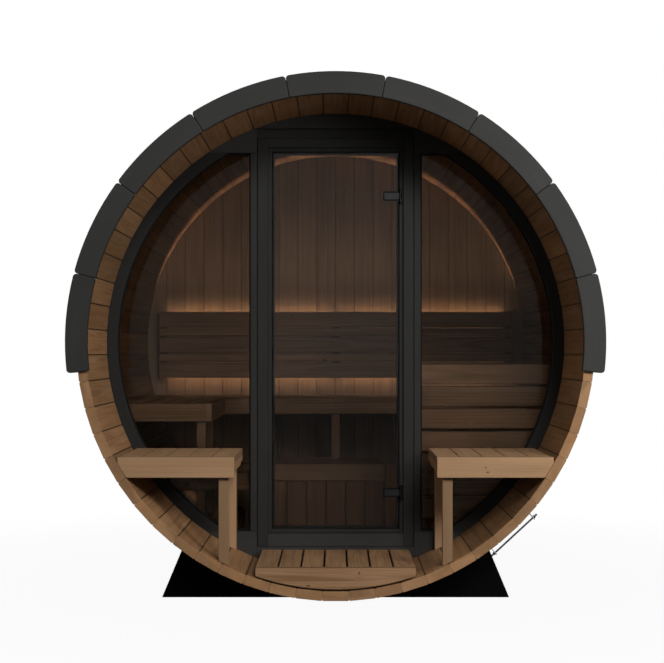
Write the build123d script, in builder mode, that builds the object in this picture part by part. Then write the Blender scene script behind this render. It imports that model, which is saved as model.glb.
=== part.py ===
"""Barrel sauna: a stave-built barrel on two cradles, with an open porch, a glazed front wall with a
hinged glass door, and a benched cabin behind it. Millimetres, +Z up, +Y from the porch to the back.
The origin is on the ground, under the middle of the barrel."""
import os
from math import asin, cos, degrees, radians, sin, sqrt, tan

from build123d import *

# Barrel shell
stave_length = 2057.0
shell_outer_r = 1100.0
stave_thickness = 42.0
stave_count = 60
stave_side_count = 19
stave_joint = 0.3
stave_notch = 4.0
ground_gap = 53.0

# Clearance between pieces that are fitted against each other
fit = 0.3

# Arched fascia boards over the stave ends, and the roof cover between them
fascia_count = 9
fascia_pitch = 21.5
fascia_lap_in = 52.0
fascia_rise = 43.0
fascia_thickness = 22.0
fascia_corner = 15.0
fascia_inner_corner = 8.0
fascia_joint = 1.0
cover_thickness = 20.0

# Steel bands and their tensioners, low on the right side
band_width = 25.0
band_thickness = 1.0
band_inset = 140.0
tensioner_angle = 42.75
tensioner_half_span = 110.0
lug_height = 55.2
lug_thickness = 4.0
rod_r = 4.0
rod_edge = 10.0
rod_overhang = 24.0
nut_width = 13.0
nut_length = 7.0

# Cradles
cradle_bottom_width = 1570.0
cradle_side_slope = 0.418
cradle_horn_height = 273.0
cradle_thickness = 90.0
cradle_inset = 400.0

# Front wall, with its windows beside the door
wall_depth = 545.0
wall_thickness = 60.0
wall_facing = 28.0
window_rim = 48.5
window_head = 181.7
window_sill = 185.7
window_rim_count = 5
post_width = 29.5
header_joint_rise = 42.5
header_joint = 3.0
glazing_lap = 12.0
window_glass = 10.0

# Door: frame, recessed lining, stop and a leaf of one glass pane
frame_gap = 3.0
frame_half_width = 361.0
frame_head_drop = 112.2
frame_foot_rise = 114.7
jamb_width = 47.0
head_height = 43.0
threshold_height = 60.5
lining_width = 18.0
lining_recess = 14.0
stop_width = 12.0
leaf_gap = 5.0
leaf_recess = 12.0
leaf_glass = 8.0

# Door hinges, on the right
hinge_head_drop = 206.2
hinge_foot_rise = 170.2
hinge_axis_inset = 13.7
hinge_axis_lift = 8.0
hinge_pin_r = 4.0
hinge_eye_r = 6.5
hinge_bore_gap = 0.3
hinge_leaf_width = 73.0
hinge_leaf_height = 43.0
hinge_leaf_thickness = 6.0
hinge_leaf_corner = 4.0
hinge_strap_lift = 2.0
hinge_strap_lap = 1.0
hinge_back_thickness = 4.0
hinge_eye_height = 24.0
hinge_frame_height = 70.0
hinge_leaf_clear = 8.0
hinge_eye_gap = 1.0
hinge_knuckle_gap = 0.5

# Boards and square timber
board_thickness = 28.0
board_width = 91.0
board_gap = 7.3
rail_width = 45.0
narrowest_board = 30.0

# Floors
floor_board_count = 7
floor_rise = 100.7
apron_bottom_gap = 8.0

# Porch benches
porch_seat_height = 469.0
porch_board_width = 95.0
porch_seat_inner = 430.0
porch_seat_gap = 3.3
porch_apron_height = 89.0
porch_apron_trim = 14.0
porch_side_rail = 25.0
porch_side_strip = 21.0
porch_strip_inset = 8.0
porch_leg_width = 43.0

# Back wall
back_wall_inset = 111.0
back_wall_thickness = 42.0
back_plank_count = 20
back_plank_joint = 0.6

# Cabin benches: an upper tier and a lower tier, each with a wing along the left side
bench_front_height = 86.0
upper_height = 673.0
upper_bench_depth = 517.0
upper_wing_edge = -580.0
lower_height = 352.0
lower_bench_depth = 322.0
lower_wing_edge = -350.0
lower_right_edge = 246.0
lower_seat_count = 4
upper_seat_count = 5
wing_front_gap = 15.0
bench_rail_places = (-820.0, -420.0, 60.0, 480.0, 860.0)
lower_leg_places = (-600.0, -180.0, 180.0)
skirt_joint = 4.0
post_width_cabin = 45.0

# Backrest with light strips behind its edges
backrest_rise = 464.0
backrest_end_gap = 73.0
backrest_rows = (85.0, 43.5, 85.0, 43.5, 85.0)
backrest_gap = 6.5
backrest_board = 22.0
backrest_stand_off = 51.0
strip_height = 12.0
strip_depth = 6.0

# Slatted screen behind the right window
screen_height = 858.0
screen_count = 7
screen_pitch = 104.7
screen_board = 95.0
screen_thickness = 20.0
screen_stand_off = 20.0
screen_batten_width = 27.0

# Sizes that follow
half_length = stave_length / 2
stave_angle = 360 / stave_count
shell_inner_r = shell_outer_r - stave_thickness
stave_outer_flat = shell_outer_r * cos(radians(stave_angle / 2))
centre_height = shell_outer_r + ground_gap
inside_r = shell_inner_r - fit
fascia_inner_r = shell_outer_r - fascia_lap_in
fascia_outer_r = shell_outer_r + fascia_rise
band_inner_r = shell_outer_r + fit
band_outer_r = band_inner_r + band_thickness
cover_inner_r = band_outer_r + fit
wall_back = wall_depth + wall_thickness
facing_back = wall_depth + wall_facing
window_inner_r = inside_r - window_rim
window_top = inside_r - window_head
window_bottom = window_sill - inside_r
frame_top = inside_r - frame_head_drop
frame_bottom = frame_foot_rise - inside_r
header_joint_height = frame_top + header_joint_rise
post_inner = frame_half_width + frame_gap
post_outer = post_inner + post_width
board_pitch = board_width + board_gap
floor_half_width = (floor_board_count * board_pitch - board_gap) / 2
floor_top = floor_rise - inside_r
porch_seat_top = floor_top + porch_seat_height
upper_top = floor_top + upper_height
lower_top = floor_top + lower_height
back_wall_depth = stave_length - back_wall_inset
upper_front_depth = back_wall_depth - upper_bench_depth
lower_front_depth = upper_front_depth - lower_bench_depth
backrest_top = upper_top + backrest_rise
backrest_half_width = shell_inner_r - backrest_end_gap
screen_top = floor_top + screen_height
very_wide = 2.2 * shell_outer_r


def upright(depth):
    """Plane across the barrel, facing the porch, at a depth behind the front stave ends.
    Its origin is on the barrel's axis, so heights on it are measured from that axis."""
    return Plane(origin=(0, depth - half_length, centre_height), x_dir=(1, 0, 0), z_dir=(0, -1, 0))


def block(x_low, x_high, z_low, z_high):
    """Rectangle between two widths and two heights, in a sketch on an upright plane."""
    with Locations(((x_low + x_high) / 2, (z_low + z_high) / 2)):
        Rectangle(x_high - x_low, z_high - z_low)


def side_block(sign, x_near, x_far, z_low, z_high):
    """The same, on the left (sign -1) or right (sign 1), between distances from the middle."""
    block(min(sign * x_near, sign * x_far), max(sign * x_near, sign * x_far), z_low, z_high)


def inside_shell(radius=inside_r):
    """Cut the sketch off where the shell's inner face runs."""
    Circle(radius, mode=Mode.INTERSECT)


def width_inside(height, radius=inside_r):
    """Half of the room across the barrel at a height above its axis."""
    return sqrt(radius**2 - height**2)


def stave_profile():
    """Section of one stave that points along +X: flat faces, bevelled sides and notched edges."""
    spread = tan(radians(stave_angle / 2))
    shoulder = stave_outer_flat - stave_notch
    inner_half = shell_inner_r * spread - stave_joint / 2
    shoulder_half = shoulder * spread - stave_joint / 2
    outer_half = shoulder_half - stave_notch
    half = [(shell_inner_r, inner_half), (shoulder, shoulder_half), (stave_outer_flat, outer_half)]
    return half + [(x, -y) for x, y in reversed(half)]


def stave_group(first_angle, count):
    """Sketch of neighbouring staves, counted anticlockwise seen from the porch."""
    with PolarLocations(0, count, start_angle=first_angle, angular_range=count * stave_angle):
        Polygon(*stave_profile(), align=None)


def arc_segment(inner_r, outer_r, span, joint, corner=0.0, inner_corner=0.0):
    """Sketch of a piece of a ring that points along +X, a joint's width short of its span."""
    half_in = radians(span / 2) - joint / 2 / inner_r
    half_out = radians(span / 2) - joint / 2 / outer_r
    with BuildSketch() as segment:
        with BuildLine():
            low_in = (inner_r * cos(half_in), -inner_r * sin(half_in))
            high_in = (inner_r * cos(half_in), inner_r * sin(half_in))
            low_out = (outer_r * cos(half_out), -outer_r * sin(half_out))
            high_out = (outer_r * cos(half_out), outer_r * sin(half_out))
            ThreePointArc(low_in, (inner_r, 0), high_in)
            Line(high_in, high_out)
            ThreePointArc(high_out, (outer_r, 0), low_out)
            Line(low_out, low_in)
        make_face()
        if corner:
            fillet(segment.vertices().group_by(Axis.X)[-1], corner)
        if inner_corner:
            fillet(segment.vertices().group_by(Axis.X)[0], inner_corner)
    return segment.sketch


def four_members(half_width, top, bottom, side, head, foot):
    """Upright and level members of a rectangular frame, uprights full height, in one sketch."""
    side_block(-1, half_width - side, half_width, bottom, top)
    side_block(1, half_width - side, half_width, bottom, top)
    block(-half_width + side + fit, half_width - side - fit, top - head, top)
    block(-half_width + side + fit, half_width - side - fit, bottom, bottom + foot)


os.makedirs("parts", exist_ok=True)

# Staves, laid side by side round the whole barrel, from the right side anticlockwise
stave_cap_count = stave_count // 2 - stave_side_count
stave_group_counts = {
    "staves_right": stave_side_count,
    "staves_top": stave_cap_count,
    "staves_left": stave_side_count,
    "staves_bottom": stave_cap_count,
}
first_stave_angle = -stave_angle * (stave_side_count - 1) / 2
for group_name, group_count in stave_group_counts.items():
    with BuildPart() as staves:
        with BuildSketch(upright(stave_length)):
            stave_group(first_stave_angle, group_count)
        extrude(amount=stave_length)
    staves.part.label = group_name
    export_step(staves.part, f"parts/{group_name}.step")
    first_stave_angle += stave_angle * group_count

# Fascia boards in an arch over the stave ends, at the front and at the back
fascia_board = arc_segment(
    fascia_inner_r, fascia_outer_r, fascia_pitch, fascia_joint, fascia_corner, fascia_inner_corner
)
fascia_start = 90 - fascia_pitch * (fascia_count - 1) / 2
fascia_spread = fascia_pitch * fascia_count
for group_name, back_face in {"fascia_front": 0.0, "fascia_back": stave_length + fascia_thickness}.items():
    with BuildPart() as fascia:
        with BuildSketch(upright(back_face)):
            with PolarLocations(0, fascia_count, start_angle=fascia_start, angular_range=fascia_spread):
                add(fascia_board)
        extrude(amount=fascia_thickness)
    fascia.part.label = group_name
    export_step(fascia.part, f"parts/{group_name}.step")

# Roof cover over the upper half, lying on the bands
with BuildPart() as roof_cover:
    cover_strip = arc_segment(cover_inner_r, cover_inner_r + cover_thickness, fascia_pitch, fit)
    with BuildSketch(upright(stave_length)):
        with PolarLocations(0, fascia_count, start_angle=fascia_start, angular_range=fascia_spread):
            add(cover_strip)
    extrude(amount=stave_length)
roof_cover.part.label = "roof_cover"
export_step(roof_cover.part, "parts/roof_cover.step")

# Steel bands round the staves, each open at its tensioner, with a lug at each end
band_depths = (band_inset, stave_length / 2, stave_length - band_inset)
lug_foot = sqrt(band_inner_r**2 - tensioner_half_span**2)
lug_top = lug_foot + lug_height
rod_line = lug_top - rod_edge
rod_direction = 270 + tensioner_angle
rod_dir = Vector(1, 0, 0).rotate(Axis.Y, -rod_direction)
tangent = Vector(1, 0, 0).rotate(Axis.Y, -rod_direction - 90)


def rod_plane(depth, along):
    """Plane square to a tensioner rod, at a distance along it from its middle."""
    middle = Vector(0, depth - half_length, centre_height) + rod_dir * rod_line
    return Plane(origin=middle + tangent * along, x_dir=(0, 1, 0), z_dir=tangent)


with BuildPart() as steel_bands:
    for depth in band_depths:
        with BuildSketch(upright(depth + band_width / 2)):
            Circle(band_outer_r)
            Circle(band_inner_r, mode=Mode.SUBTRACT)
            with PolarLocations(0, 1, start_angle=rod_direction):
                Polygon(
                    (0, 0),
                    (very_wide * lug_foot / shell_outer_r, -very_wide * tensioner_half_span / shell_outer_r),
                    (very_wide * lug_foot / shell_outer_r, very_wide * tensioner_half_span / shell_outer_r),
                    align=None,
                    mode=Mode.SUBTRACT,
                )
                with Locations(
                    ((lug_foot + lug_top) / 2, tensioner_half_span + lug_thickness / 2),
                    ((lug_foot + lug_top) / 2, -tensioner_half_span - lug_thickness / 2),
                ):
                    Rectangle(lug_height, lug_thickness)
            Circle(band_inner_r, mode=Mode.SUBTRACT)
        extrude(amount=band_width)
        with BuildSketch(rod_plane(depth, -tensioner_half_span - rod_overhang)):
            Circle(rod_r + fit)
        extrude(amount=2 * (tensioner_half_span + rod_overhang), mode=Mode.SUBTRACT)
steel_bands.part.label = "steel_bands"
export_step(steel_bands.part, "parts/steel_bands.step")

# Tensioner rods through the lugs, with a nut outside each lug
with BuildPart() as tensioner_rods:
    for depth in band_depths:
        with BuildSketch(rod_plane(depth, -tensioner_half_span - rod_overhang)):
            Circle(rod_r)
        extrude(amount=2 * (tensioner_half_span + rod_overhang))
        for nut_start in (
            tensioner_half_span + lug_thickness + fit,
            -tensioner_half_span - lug_thickness - fit - nut_length,
        ):
            with BuildSketch(rod_plane(depth, nut_start)):
                RegularPolygon(nut_width / 2, 6, major_radius=False)
            extrude(amount=nut_length)
tensioner_rods.part.label = "tensioner_rods"
export_step(tensioner_rods.part, "parts/tensioner_rods.step")

# Cradles: two shaped bearers that the barrel lies in
cradle_half = cradle_bottom_width / 2
cradle_top_half = cradle_half - cradle_side_slope * cradle_horn_height
cradle_backs = {
    "cradle_front": cradle_inset + cradle_thickness,
    "cradle_rear": stave_length - cradle_inset,
}
for group_name, back_face in cradle_backs.items():
    with BuildPart() as cradle:
        with BuildSketch(upright(back_face)):
            Polygon(
                (-cradle_half, -centre_height),
                (cradle_half, -centre_height),
                (cradle_top_half, cradle_horn_height - centre_height),
                (-cradle_top_half, cradle_horn_height - centre_height),
                align=None,
            )
            Circle(shell_outer_r + fit, mode=Mode.SUBTRACT)
        extrude(amount=cradle_thickness)
    cradle.part.label = group_name
    export_step(cradle.part, f"parts/{group_name}.step")

# Front wall above and below the windows and the door, rebated at the back for the glass
with BuildPart() as wall_header:
    for back, lift in ((facing_back, 0.0), (wall_back, glazing_lap)):
        front = wall_depth if back == facing_back else facing_back
        with BuildSketch(upright(back)):
            for sign in (-1, 1):
                side_block(sign, post_inner, very_wide, window_top + fit + lift, very_wide)
            inside_shell()
        extrude(amount=back - front)
    with BuildSketch(upright(wall_back)):
        for low, high in (
            (frame_top + fit, header_joint_height - header_joint / 2),
            (header_joint_height + header_joint / 2, very_wide),
        ):
            block(-post_inner + fit, post_inner - fit, low, high)
        inside_shell()
    extrude(amount=wall_thickness)
wall_header.part.label = "wall_header"
export_step(wall_header.part, "parts/wall_header.step")

with BuildPart() as wall_sill:
    for back, drop in ((facing_back, 0.0), (wall_back, glazing_lap)):
        front = wall_depth if back == facing_back else facing_back
        with BuildSketch(upright(back)):
            for sign in (-1, 1):
                side_block(sign, post_inner, very_wide, -very_wide, window_bottom - fit - drop)
            inside_shell()
        extrude(amount=back - front)
    with BuildSketch(upright(wall_back)):
        block(-post_inner + fit, post_inner - fit, -very_wide, frame_bottom - fit)
        inside_shell()
    extrude(amount=wall_thickness)
wall_sill.part.label = "wall_sill"
export_step(wall_sill.part, "parts/wall_sill.step")

# Curved window rims along the shell, the posts beside the door, and the fixed panes
window_reach = 2 * degrees(asin((window_top + glazing_lap) / window_inner_r))
rim_pitch = window_reach / window_rim_count
for side, sign, middle_angle in (("left", -1, 180), ("right", 1, 0)):
    rim_start = middle_angle - rim_pitch * (window_rim_count - 1) / 2
    with BuildPart() as window_rim_arc:
        for back, step in ((facing_back, 0.0), (wall_back, glazing_lap)):
            front = wall_depth if back == facing_back else facing_back
            rim_piece = arc_segment(window_inner_r + step, inside_r, rim_pitch, fit)
            with BuildSketch(upright(back)):
                with PolarLocations(0, window_rim_count, start_angle=rim_start, angular_range=window_reach):
                    add(rim_piece)
                with Locations((0, (window_top + window_bottom) / 2)):
                    Rectangle(very_wide, window_top - window_bottom + 2 * step, mode=Mode.INTERSECT)
            extrude(amount=back - front)
    window_rim_arc.part.label = f"window_rim_{side}"
    export_step(window_rim_arc.part, f"parts/window_rim_{side}.step")

    with BuildPart() as window_post:
        with BuildSketch(upright(facing_back)):
            side_block(sign, post_inner, post_outer, window_bottom, window_top)
        extrude(amount=wall_facing)
        with BuildSketch(upright(wall_back)):
            side_block(sign, post_inner, post_outer - glazing_lap, window_bottom, window_top)
        extrude(amount=wall_thickness - wall_facing)
    window_post.part.label = f"window_post_{side}"
    export_step(window_post.part, f"parts/window_post_{side}.step")

    with BuildPart() as window_pane:
        with BuildSketch(upright(facing_back + fit + window_glass)):
            side_block(
                sign,
                post_outer - glazing_lap + fit,
                very_wide,
                window_bottom - glazing_lap + fit,
                window_top + glazing_lap - fit,
            )
            inside_shell(window_inner_r + glazing_lap - fit)
        extrude(amount=window_glass)
    window_pane.part.label = f"window_glass_{side}"
    export_step(window_pane.part, f"parts/window_glass_{side}.step")

# Door frame, its recessed lining, and the stop that the leaf closes against
lining_half = frame_half_width - jamb_width - fit
lining_top = frame_top - head_height - fit
lining_bottom = frame_bottom + threshold_height + fit
with BuildPart() as door_frame:
    with BuildSketch(upright(wall_back)):
        four_members(
            frame_half_width, frame_top, frame_bottom, jamb_width, head_height, threshold_height
        )
    extrude(amount=wall_thickness)
door_frame.part.label = "door_frame"
export_step(door_frame.part, "parts/door_frame.step")

with BuildPart() as door_lining:
    with BuildSketch(upright(wall_back)):
        four_members(lining_half, lining_top, lining_bottom, lining_width, lining_width, lining_width)
    extrude(amount=wall_thickness - lining_recess)
door_lining.part.label = "door_lining"
export_step(door_lining.part, "parts/door_lining.step")

opening_half = lining_half - lining_width
opening_top = lining_top - lining_width
opening_bottom = lining_bottom + lining_width
leaf_front = wall_depth + leaf_recess
leaf_back = leaf_front + leaf_glass
with BuildPart() as door_stop:
    with BuildSketch(upright(wall_back)):
        four_members(
            opening_half - fit, opening_top - fit, opening_bottom + fit, stop_width, stop_width, stop_width
        )
    extrude(amount=wall_back - leaf_back - leaf_gap)
door_stop.part.label = "door_stop"
export_step(door_stop.part, "parts/door_stop.step")

# Door leaf: one pane, with a gap all round it
with BuildPart() as door_glass:
    with BuildSketch(upright(leaf_back)):
        block(
            leaf_gap - opening_half,
            opening_half - leaf_gap,
            opening_bottom + leaf_gap,
            opening_top - leaf_gap,
        )
    extrude(amount=leaf_glass)
door_glass.part.label = "door_glass"
export_step(door_glass.part, "parts/door_glass.step")

# Hinges: a clamp plate each side of the pane with an eye, and a pin with two knuckles on the frame
hinge_x = lining_half + fit - hinge_axis_inset
hinge_heights = (opening_top - hinge_head_drop, opening_bottom + hinge_foot_rise)
hinge_depth = leaf_front - hinge_axis_lift
hinge_centre = upright(hinge_depth).origin.Y
leaf_plate_end = hinge_x - hinge_leaf_clear
with BuildPart() as door_hinge_leaves:
    for height in hinge_heights:
        low = height - hinge_leaf_height / 2
        high = height + hinge_leaf_height / 2
        with BuildSketch(upright(leaf_front)):
            block(leaf_plate_end - hinge_leaf_width, leaf_plate_end, low, high)
        extrude(amount=hinge_leaf_thickness)
        plate_corners = door_hinge_leaves.edges(Select.LAST).filter_by(Axis.Y).group_by(Axis.X)[0]
        fillet(plate_corners, hinge_leaf_corner)
        with BuildSketch(upright(leaf_front - hinge_strap_lift)):
            block(
                leaf_plate_end - hinge_strap_lap,
                hinge_x,
                height - hinge_eye_height / 2,
                height + hinge_eye_height / 2,
            )
        extrude(amount=hinge_leaf_thickness - hinge_strap_lift)
        eye_foot = Plane((hinge_x, hinge_centre, centre_height + height - hinge_eye_height / 2))
        with BuildSketch(eye_foot):
            Circle(hinge_eye_r)
        extrude(amount=hinge_eye_height)
        with BuildSketch(eye_foot):
            Circle(hinge_pin_r + hinge_bore_gap)
        extrude(amount=hinge_eye_height, mode=Mode.SUBTRACT)
        with BuildSketch(upright(leaf_back + hinge_back_thickness)):
            block(leaf_plate_end - hinge_leaf_width, opening_half - stop_width - leaf_gap, low, high)
        extrude(amount=hinge_back_thickness)
door_hinge_leaves.part.label = "door_hinge_leaves"
export_step(door_hinge_leaves.part, "parts/door_hinge_leaves.step")

knuckle_height = (hinge_frame_height - hinge_eye_height) / 2 - hinge_knuckle_gap
with BuildPart() as hinge_frame_plates:
    for height in hinge_heights:
        low = height - hinge_frame_height / 2
        high = height + hinge_frame_height / 2
        pin_foot = Plane((hinge_x, hinge_centre, centre_height + low))
        with BuildSketch(pin_foot):
            Circle(hinge_pin_r)
        extrude(amount=hinge_frame_height)
        with BuildSketch(upright(wall_depth + lining_recess)):
            block(hinge_x + hinge_eye_r + hinge_eye_gap, lining_half, low, high)
        extrude(amount=lining_recess - leaf_recess + hinge_axis_lift)
        for foot in (low, high - knuckle_height):
            with BuildSketch(Plane((hinge_x, hinge_centre, centre_height + foot))):
                Circle(hinge_eye_r)
            extrude(amount=knuckle_height)
            with BuildSketch(upright(wall_depth + lining_recess)):
                block(hinge_x, lining_half, foot, foot + knuckle_height)
            extrude(amount=lining_recess - leaf_recess + hinge_axis_lift)
hinge_frame_plates.part.label = "hinge_frame_plates"
export_step(hinge_frame_plates.part, "parts/hinge_frame_plates.step")

# Back wall of upright planks, cut to the barrel's round
with BuildPart() as back_wall:
    plank_pitch = 2 * inside_r / back_plank_count
    with BuildSketch(upright(back_wall_depth + back_wall_thickness)):
        with GridLocations(plank_pitch, 0, back_plank_count, 1):
            Rectangle(plank_pitch - back_plank_joint, very_wide)
        inside_shell()
    extrude(amount=back_wall_thickness)
back_wall.part.label = "back_wall"
export_step(back_wall.part, "parts/back_wall.step")

# Floors: boards from front to back on joists that are cut to the shell
floor_runs = {
    "deck_boards": (board_thickness + fit, wall_depth - fit),
    "cabin_floor": (wall_back + fit, back_wall_depth - fit),
}
for group_name, (front, back) in floor_runs.items():
    with BuildPart() as floor_boards:
        with BuildSketch(upright(back)):
            with Locations((0, floor_top - board_thickness / 2)):
                with GridLocations(board_pitch, 0, floor_board_count, 1):
                    Rectangle(board_width, board_thickness)
        extrude(amount=back - front)
    floor_boards.part.label = group_name
    export_step(floor_boards.part, f"parts/{group_name}.step")

with BuildPart() as deck_apron:
    with BuildSketch(upright(board_thickness)):
        block(-floor_half_width, floor_half_width, -very_wide, floor_top)
        inside_shell(shell_inner_r - apron_bottom_gap)
    extrude(amount=board_thickness)
deck_apron.part.label = "deck_apron"
export_step(deck_apron.part, "parts/deck_apron.step")

with BuildPart() as floor_joists:
    joist_backs = (
        board_thickness + fit + rail_width,
        wall_depth - fit,
        wall_back + fit + rail_width,
        (wall_back + back_wall_depth) / 2,
        back_wall_depth - fit,
    )
    for back in joist_backs:
        with BuildSketch(upright(back)):
            block(-floor_half_width, floor_half_width, -very_wide, floor_top - board_thickness - fit)
            inside_shell()
        extrude(amount=rail_width)
floor_joists.part.label = "floor_joists"
export_step(floor_joists.part, "parts/floor_joists.step")

# Porch benches: boards from front to back on a frame with two legs
porch_seat_pitch = porch_board_width + porch_seat_gap
porch_seat_room = width_inside(porch_seat_top - board_thickness) - porch_seat_inner
porch_seat_count = int((porch_seat_room - narrowest_board) / porch_seat_pitch) + 1
under_porch_seat = porch_seat_top - board_thickness - fit
porch_apron_low = porch_seat_top - porch_apron_height
for side, sign in (("left", -1), ("right", 1)):
    with BuildPart() as porch_seat:
        with BuildSketch(upright(wall_depth - fit)):
            for number in range(porch_seat_count):
                near = porch_seat_inner + number * porch_seat_pitch
                side_block(
                    sign,
                    near,
                    near + porch_board_width,
                    porch_seat_top - board_thickness,
                    porch_seat_top,
                )
            inside_shell()
        extrude(amount=wall_depth - board_thickness - 2 * fit)
    porch_seat.part.label = f"porch_seat_{side}"
    export_step(porch_seat.part, f"parts/porch_seat_{side}.step")

    with BuildPart() as porch_bench_frame:
        apron_end = width_inside(porch_seat_top, shell_inner_r) - porch_apron_trim
        with BuildSketch(upright(board_thickness)):
            side_block(sign, porch_seat_inner, apron_end, porch_apron_low, porch_seat_top)
            inside_shell()
        extrude(amount=board_thickness)
        leg_near = porch_seat_inner + porch_side_rail + fit
        front_leg_back = board_thickness + fit + porch_leg_width
        rear_leg_back = wall_depth - fit
        for back in (front_leg_back, rear_leg_back):
            with BuildSketch(upright(back)):
                side_block(sign, leg_near, leg_near + porch_leg_width, -very_wide, under_porch_seat)
                inside_shell()
            extrude(amount=porch_leg_width)
        rail_far = porch_seat_inner + porch_side_rail
        rail_low = under_porch_seat - board_thickness
        strip_near = porch_seat_inner + porch_strip_inset
        with BuildSketch(upright(wall_depth - fit)):
            side_block(sign, porch_seat_inner, rail_far, rail_low, under_porch_seat)
            side_block(sign, strip_near, rail_far, rail_low - porch_side_strip, rail_low)
        extrude(amount=wall_depth - board_thickness - 2 * fit)
        middle_rail_back = (front_leg_back + rear_leg_back) / 2
        for back in (middle_rail_back, rear_leg_back):
            rail_near = leg_near + (porch_leg_width + fit if back == rear_leg_back else 0)
            with BuildSketch(upright(back)):
                side_block(sign, rail_near, very_wide, porch_apron_low, under_porch_seat)
                inside_shell()
            extrude(amount=rail_width)
    porch_bench_frame.part.label = f"porch_bench_frame_{side}"
    export_step(porch_bench_frame.part, f"parts/porch_bench_frame_{side}.step")

# Cabin benches. Each tier has boards along the back and a wing along the left side.
wing_front = wall_back + wing_front_gap
tiers = {
    "upper": (upper_top, upper_front_depth, upper_wing_edge, very_wide, upper_seat_count),
    "lower": (lower_top, lower_front_depth, lower_wing_edge, lower_right_edge, lower_seat_count),
}
for tier, (top, front_depth, wing_edge, right_edge, seat_count) in tiers.items():
    under_seat = top - board_thickness - fit
    front_low = top - bench_front_height
    seat_start = front_depth + board_thickness + fit
    with BuildPart() as tier_seat:
        for number in range(seat_count):
            near = seat_start + number * board_pitch
            with BuildSketch(upright(near + board_width)):
                block(-very_wide, right_edge, top - board_thickness, top)
                inside_shell()
            extrude(amount=board_width)
        wing_seat_start = wing_edge - board_thickness - fit
        with BuildSketch(upright(front_depth - fit)):
            wing_reach = width_inside(top) + wing_seat_start
            for number in range(int(wing_reach / board_pitch) + 1):
                far = wing_seat_start - number * board_pitch
                if width_inside(top) + far > narrowest_board:
                    block(far - board_width, far, top - board_thickness, top)
            inside_shell()
        extrude(amount=front_depth - wing_front - board_thickness - 2 * fit)
    tier_seat.part.label = f"{tier}_bench_seat"
    export_step(tier_seat.part, f"parts/{tier}_bench_seat.step")

    with BuildPart() as tier_front:
        with BuildSketch(upright(front_depth + board_thickness)):
            block(wing_edge + fit, right_edge, front_low, top)
            inside_shell()
        extrude(amount=board_thickness)
        with BuildSketch(upright(wing_front + board_thickness)):
            block(-very_wide, wing_edge - board_thickness - fit, front_low, top)
            inside_shell()
        extrude(amount=board_thickness)
        with BuildSketch(upright(front_depth + board_thickness)):
            block(wing_edge - board_thickness, wing_edge, front_low, top)
        extrude(amount=front_depth + board_thickness - wing_front)
    tier_front.part.label = f"{tier}_bench_front"
    export_step(tier_front.part, f"parts/{tier}_bench_front.step")

# Rails under the seat boards, and the posts that carry the tiers
upper_under = upper_top - board_thickness - fit
upper_low = upper_top - bench_front_height
lower_under = lower_top - board_thickness - fit
lower_low = lower_top - bench_front_height
wing_post_edge = upper_wing_edge - board_thickness - fit
wing_posts_back = (wing_front + board_thickness + fit + post_width_cabin, lower_front_depth - fit)
with BuildPart() as upper_bench_rails:
    with BuildSketch(upright(back_wall_depth - fit)):
        for place in bench_rail_places:
            block(place - rail_width / 2, place + rail_width / 2, upper_low, upper_under)
        inside_shell()
    extrude(amount=back_wall_depth - upper_front_depth - board_thickness - 2 * fit)
upper_bench_rails.part.label = "upper_bench_rails"
export_step(upper_bench_rails.part, "parts/upper_bench_rails.step")

with BuildPart() as bench_posts:
    with BuildSketch(upright(upper_front_depth + post_width_cabin)):
        block(-post_width_cabin / 2, post_width_cabin / 2, lower_top + fit, upper_low - fit)
    extrude(amount=post_width_cabin)
    for back in wing_posts_back:
        with BuildSketch(upright(back)):
            block(wing_post_edge - post_width_cabin, wing_post_edge, lower_top + fit, upper_under)
            block(wing_post_edge - post_width_cabin, wing_post_edge, -very_wide, lower_under)
            inside_shell()
        extrude(amount=post_width_cabin)
bench_posts.part.label = "bench_posts"
export_step(bench_posts.part, "parts/bench_posts.step")

lower_seat_end = lower_front_depth + board_thickness + fit + lower_seat_count * board_pitch - board_gap
with BuildPart() as lower_bench_legs:
    with BuildSketch(upright(lower_seat_end)):
        for place in lower_leg_places:
            foot = floor_top + fit if abs(place) < floor_half_width else -very_wide
            block(place - rail_width / 2, place + rail_width / 2, foot, lower_under)
        inside_shell()
    extrude(amount=rail_width)
lower_bench_legs.part.label = "lower_bench_legs"
export_step(lower_bench_legs.part, "parts/lower_bench_legs.step")

# Skirt of upright boards that closes the front of the lower tier
with BuildPart() as lower_bench_skirt:
    with BuildSketch(upright(lower_front_depth + board_thickness)):
        for number in range(floor_board_count):
            near = number * board_pitch - floor_half_width
            board_top = lower_low - fit if near < lower_right_edge - board_gap else lower_top
            block(near, near + board_pitch - skirt_joint, floor_top + fit, board_top)
    extrude(amount=board_thickness)
lower_bench_skirt.part.label = "lower_bench_skirt"
export_step(lower_bench_skirt.part, "parts/lower_bench_skirt.step")

# Backrest on the back wall, with a light strip behind its top and bottom boards
rest_back = back_wall_depth - backrest_stand_off
row_tops = [
    backrest_top - sum(backrest_rows[:number]) - number * backrest_gap
    for number in range(len(backrest_rows))
]
backrest_bottom = row_tops[-1] - backrest_rows[-1]
with BuildPart() as backrest:
    with BuildSketch(upright(rest_back)):
        for row_top, row_height in zip(row_tops, backrest_rows):
            block(-backrest_half_width, backrest_half_width, row_top - row_height, row_top)
        inside_shell()
    extrude(amount=backrest_board)
backrest.part.label = "backrest"
export_step(backrest.part, "parts/backrest.step")

with BuildPart() as backrest_battens:
    with BuildSketch(upright(back_wall_depth - fit)):
        for middle in (rail_width / 2 - backrest_half_width, 0, backrest_half_width - rail_width / 2):
            block(middle - rail_width / 2, middle + rail_width / 2, backrest_bottom, backrest_top)
    extrude(amount=backrest_stand_off - 2 * fit)
backrest_battens.part.label = "backrest_battens"
export_step(backrest_battens.part, "parts/backrest_battens.step")

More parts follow.
